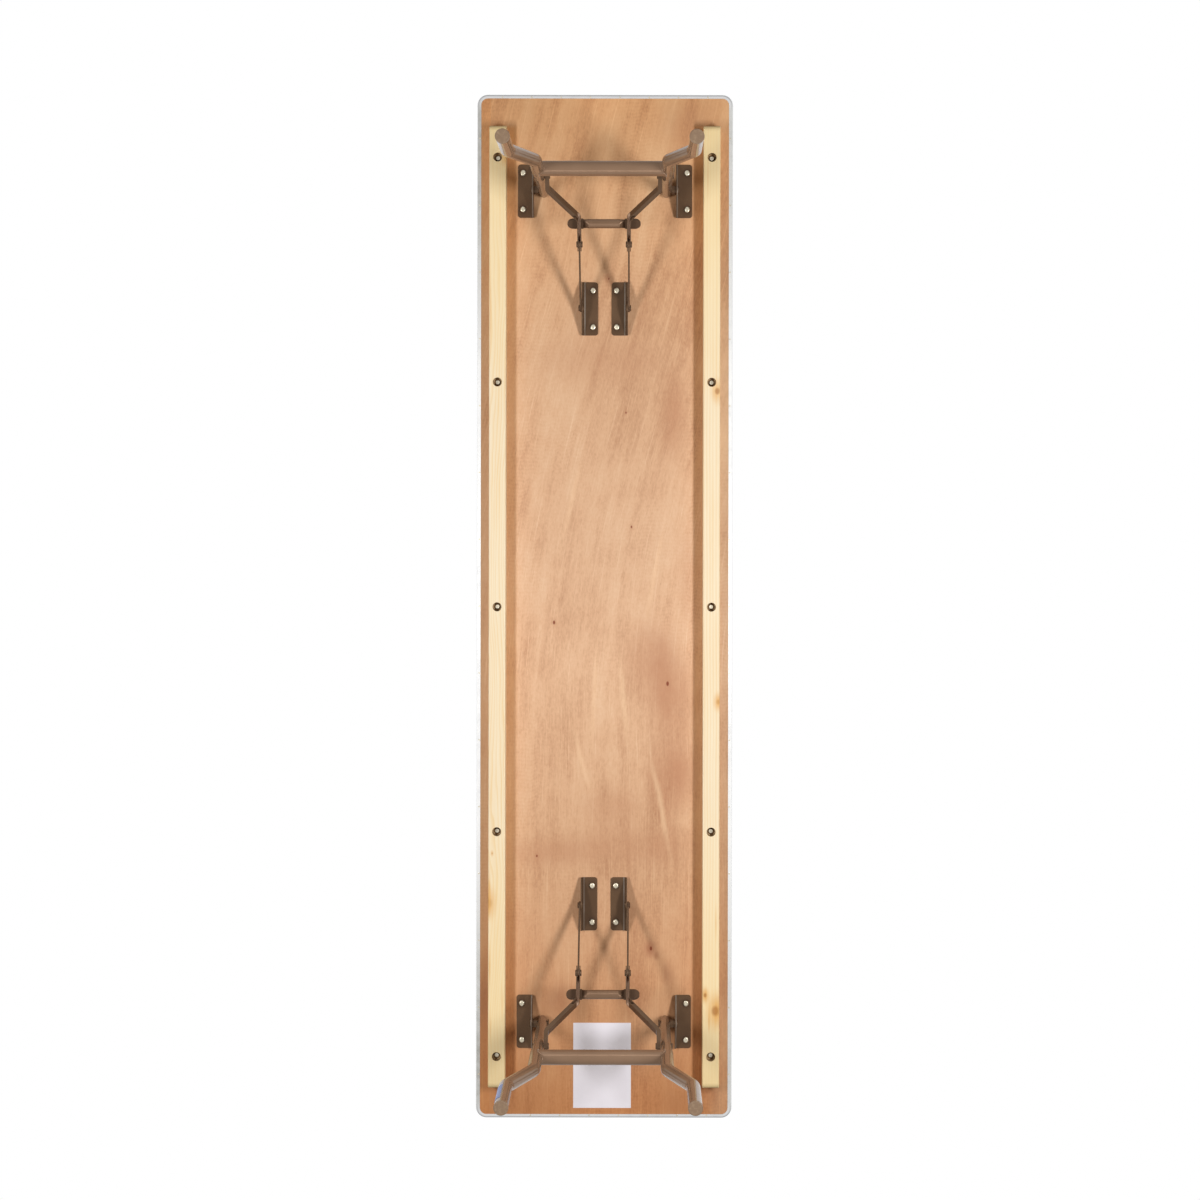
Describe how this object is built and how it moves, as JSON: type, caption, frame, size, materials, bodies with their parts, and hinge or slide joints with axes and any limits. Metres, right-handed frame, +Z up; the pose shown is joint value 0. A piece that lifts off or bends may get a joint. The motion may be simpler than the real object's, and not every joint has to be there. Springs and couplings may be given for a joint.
{
  "type": "folding table",
  "caption": "Long narrow folding table with a plywood top, metal edge, pine rails and wishbone steel legs on toggle braces.",
  "frame": {"origin": "on the floor under the middle of the table top", "axes": "+Z up, +X along the table's length, +Y across it"},
  "size_m": [1.8288, 0.4572, 0.762],
  "materials": {
    "plywood": "clear lacquered plywood",
    "pine": "planed pine",
    "edge_aluminium": "bright mill finish",
    "painted_steel": "semi-gloss taupe paint",
    "bracket_steel": "semi-gloss dark taupe paint",
    "zinc_steel": "bright zinc",
    "foot_plastic": "satin",
    "label_paper": "plain",
    "sticker_blue": "plain"
  },
  "bodies": {
    "table_top": {"plywood_panel": "plywood", "edge_moulding_front": "edge_aluminium", "edge_moulding_back": "edge_aluminium", "edge_nails": "zinc_steel", "front_rail": "pine", "back_rail": "pine", "rail_screws": "zinc_steel", "leg_bracket_screws": "zinc_steel", "brace_bracket_screws": "zinc_steel", "paper_label": "label_paper", "right_front_leg_bracket": "bracket_steel", "right_front_brace_bracket": "bracket_steel", "right_back_leg_bracket": "bracket_steel", "right_back_brace_bracket": "bracket_steel", "right_leg_rivets": "bracket_steel", "right_leg_spacers": "bracket_steel", "right_brace_rivets": "bracket_steel", "left_front_leg_bracket": "bracket_steel", "left_front_brace_bracket": "bracket_steel", "left_back_leg_bracket": "bracket_steel", "left_back_brace_bracket": "bracket_steel", "left_leg_rivets": "bracket_steel", "left_leg_spacers": "bracket_steel", "left_brace_rivets": "bracket_steel"},
    "right_leg_frame": {"right_front_leg_tube": "painted_steel", "right_front_foot_cap": "foot_plastic", "right_back_leg_tube": "painted_steel", "right_back_foot_cap": "foot_plastic", "right_cross_tube": "painted_steel", "right_arm_studs": "bracket_steel"},
    "right_upper_brace": {"right_front_upper_link": "painted_steel", "right_back_upper_link": "painted_steel"},
    "right_lower_brace": {"right_front_lower_arm": "painted_steel", "right_back_lower_arm": "painted_steel", "right_bridge_bar": "painted_steel", "right_knuckle_rivets": "bracket_steel", "right_arm_rivets": "bracket_steel"},
    "left_leg_frame": {"left_front_leg_tube": "painted_steel", "left_front_foot_cap": "foot_plastic", "left_back_leg_tube": "painted_steel", "left_back_foot_cap": "foot_plastic", "left_cross_tube": "painted_steel", "left_arm_studs": "bracket_steel", "foot_sticker": "sticker_blue"},
    "left_upper_brace": {"left_front_upper_link": "painted_steel", "left_back_upper_link": "painted_steel"},
    "left_lower_brace": {"left_front_lower_arm": "painted_steel", "left_back_lower_arm": "painted_steel", "left_bridge_bar": "painted_steel", "left_knuckle_rivets": "bracket_steel", "left_arm_rivets": "bracket_steel"}
  },
  "joints": [
    {"name": "right_leg_fold", "type": "hinge", "parent": "table_top", "child": "right_leg_frame", "pos_m": [0.741, 0, 0.721], "axis": [0, 1, 0], "range_deg": [0, 90]},
    {"name": "right_brace_swing", "type": "hinge", "parent": "table_top", "child": "right_upper_brace", "pos_m": [0.531, 0, 0.721], "axis": [0, 1, 0], "range_deg": [-45.7, 0]},
    {"name": "right_brace_knuckle", "type": "hinge", "parent": "right_upper_brace", "child": "right_lower_brace", "pos_m": [0.63425, 0, 0.61529], "axis": [0, 1, 0], "range_deg": [0, 180]},
    {"name": "left_leg_fold", "type": "hinge", "parent": "table_top", "child": "left_leg_frame", "pos_m": [-0.741, 0, 0.721], "axis": [0, -1, 0], "range_deg": [0, 90]},
    {"name": "left_brace_swing", "type": "hinge", "parent": "table_top", "child": "left_upper_brace", "pos_m": [-0.531, 0, 0.721], "axis": [0, -1, 0], "range_deg": [-45.7, 0]},
    {"name": "left_brace_knuckle", "type": "hinge", "parent": "left_upper_brace", "child": "left_lower_brace", "pos_m": [-0.63425, 0, 0.61529], "axis": [0, -1, 0], "range_deg": [0, 180]}
  ],
  "couplings": [
    {"joint": "right_brace_swing", "follows": "right_leg_fold", "ratio": -0.50749},
    {"joint": "right_brace_knuckle", "follows": "right_leg_fold", "ratio": 2},
    {"joint": "left_brace_swing", "follows": "left_leg_fold", "ratio": -0.50749},
    {"joint": "left_brace_knuckle", "follows": "left_leg_fold", "ratio": 2}
  ]
}
